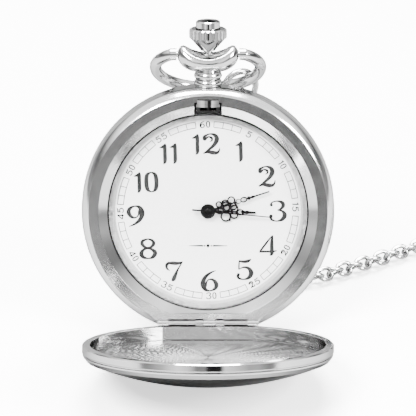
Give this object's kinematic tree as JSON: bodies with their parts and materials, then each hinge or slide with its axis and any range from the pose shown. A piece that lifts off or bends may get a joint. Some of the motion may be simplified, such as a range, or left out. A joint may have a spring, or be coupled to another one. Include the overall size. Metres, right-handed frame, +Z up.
{
  "type": "hunter pocket watch",
  "caption": "Quartz pocket watch with a sprung hunter lid, standing open on its lid and case edge, with a curb chain and T-bar.",
  "frame": {"origin": "on the floor, below the middle of the watch (chain left out)", "axes": "+Z up, +X to the watch's right seen from its dial, the dial looks towards -Y and up"},
  "size_m": [0.1088, 0.0912, 0.0582],
  "materials": {
    "case_plate": "polished chrome plate",
    "satin_steel": "fine circular brushing",
    "crystal": "clear mineral glass",
    "gasket": "black nitrile",
    "dial": "white satin lacquer",
    "hands": "black lacquer",
    "brass": "turned brass",
    "nickel": "nickel plated",
    "holder": "moulded white plastic",
    "magnet": "bonded magnet",
    "copper": "enamelled copper winding",
    "board": "coated circuit board",
    "spring": "spring steel",
    "chain": "polished curb links"
  },
  "bodies": {
    "case": {"case_middle": "case_plate", "front_bezel": "case_plate", "crystal": "crystal", "crystal_gasket": "gasket", "flange_ring": "satin_steel", "dial": "dial", "case_back": "case_plate", "back_gasket": "gasket", "hinge_pin": "case_plate", "pendant_tube": "nickel", "neck_collars": "case_plate", "pendant": "case_plate", "catch_spring": "spring", "movement_ring": "holder", "main_plate": "brass", "train_bridge": "nickel", "movement_screws": "spring", "stator": "nickel", "coil_core": "nickel", "drive_coil": "copper", "battery_cell": "nickel", "battery_strap": "nickel", "circuit_board": "board", "quartz_can": "nickel", "setting_lever": "spring", "chain_run": "chain", "chain_coil": "chain", "t_bar": "chain"},
    "lid": {"lid_shell": "case_plate", "lid_liner": "satin_steel"},
    "setting": {"setting_pinion": "nickel"},
    "crown": {"crown": "case_plate", "winding_stem": "nickel", "button_spring": "spring"},
    "button": {"crown_button": "case_plate"},
    "catch": {"lid_catch": "case_plate"},
    "bow": {"bow": "case_plate", "clasp_ring": "chain", "clasp_swivel": "chain"},
    "seconds": {"seconds_wheel": "brass", "second_hand": "hands"},
    "third": {"third_wheel": "brass"},
    "centre": {"centre_wheel": "brass"},
    "step": {"step_wheel": "brass"},
    "rotor": {"rotor": "magnet"},
    "minutes": {"cannon_pinion": "brass", "minute_hand": "hands"},
    "minute_wheel": {"minute_wheel": "brass"},
    "hours": {"hour_wheel": "brass", "hour_hand": "hands"}
  },
  "joints": [
    {"name": "lid_hinge", "type": "hinge", "parent": "case", "child": "lid", "pos_m": [0, 0.00825, 0.00383], "axis": [-1, 0, 0], "range_deg": [0, 86], "stiffness_Nm_per_rad": 0.004, "springref_deg": -20.05},
    {"name": "crown_turn", "type": "hinge", "parent": "case", "child": "setting", "pos_m": [0, 0.02458, 0.05222], "axis": [0, 0.258, 0.9662], "continuous": true},
    {"name": "crown_pull", "type": "slide", "parent": "setting", "child": "crown", "axis": [0, 0.258, 0.9662], "range_m": [0, 0.0008]},
    {"name": "button_press", "type": "slide", "parent": "crown", "child": "button", "axis": [0, -0.258, -0.9662], "range_m": [0, 0.0005], "stiffness_N_per_m": 3000, "springref_m": -0.0003, "deforming": ["button_spring"]},
    {"name": "catch_slide", "type": "slide", "parent": "case", "child": "catch", "axis": [0, -0.258, -0.9662], "range_m": [0, 0.0005], "deforming": ["catch_spring"]},
    {"name": "bow_swing", "type": "hinge", "parent": "case", "child": "bow", "pos_m": [0, 0.0244, 0.05155], "axis": [1, 0, 0], "range_deg": [0, 170], "deforming": ["chain_run"]},
    {"name": "seconds_spin", "type": "hinge", "parent": "case", "child": "seconds", "pos_m": [0, 0.01646, 0.02334], "axis": [0, 0.9662, -0.258], "continuous": true},
    {"name": "third_spin", "type": "hinge", "parent": "case", "child": "third", "pos_m": [-0.00265, 0.01685, 0.02482], "axis": [0, 0.9662, -0.258], "continuous": true},
    {"name": "centre_spin", "type": "hinge", "parent": "case", "child": "centre", "pos_m": [0, 0.01646, 0.02334], "axis": [0, 0.9662, -0.258], "continuous": true},
    {"name": "step_spin", "type": "hinge", "parent": "case", "child": "step", "pos_m": [0.00296, 0.01618, 0.0223], "axis": [0, 0.9662, -0.258], "continuous": true},
    {"name": "rotor_spin", "type": "hinge", "parent": "case", "child": "rotor", "pos_m": [0.00431, 0.01558, 0.02004], "axis": [0, 0.9662, -0.258], "continuous": true},
    {"name": "minute_spin", "type": "hinge", "parent": "case", "child": "minutes", "pos_m": [0, 0.01646, 0.02334], "axis": [0, 0.9662, -0.258], "continuous": true},
    {"name": "minute_wheel_spin", "type": "hinge", "parent": "case", "child": "minute_wheel", "pos_m": [0.0024, 0.01599, 0.0216], "axis": [0, 0.9662, -0.258], "continuous": true},
    {"name": "hour_spin", "type": "hinge", "parent": "case", "child": "hours", "pos_m": [0, 0.01646, 0.02334], "axis": [0, 0.9662, -0.258], "continuous": true}
  ],
  "couplings": [
    {"joint": "catch_slide", "follows": "button_press", "ratio": 1},
    {"joint": "third_spin", "follows": "seconds_spin", "ratio": -0.13333},
    {"joint": "centre_spin", "follows": "seconds_spin", "ratio": 0.016667},
    {"joint": "step_spin", "follows": "seconds_spin", "ratio": -6},
    {"joint": "rotor_spin", "follows": "seconds_spin", "ratio": 30},
    {"joint": "minute_wheel_spin", "follows": "minute_spin", "ratio": -0.33333},
    {"joint": "hour_spin", "follows": "minute_spin", "ratio": 0.083333}
  ]
}
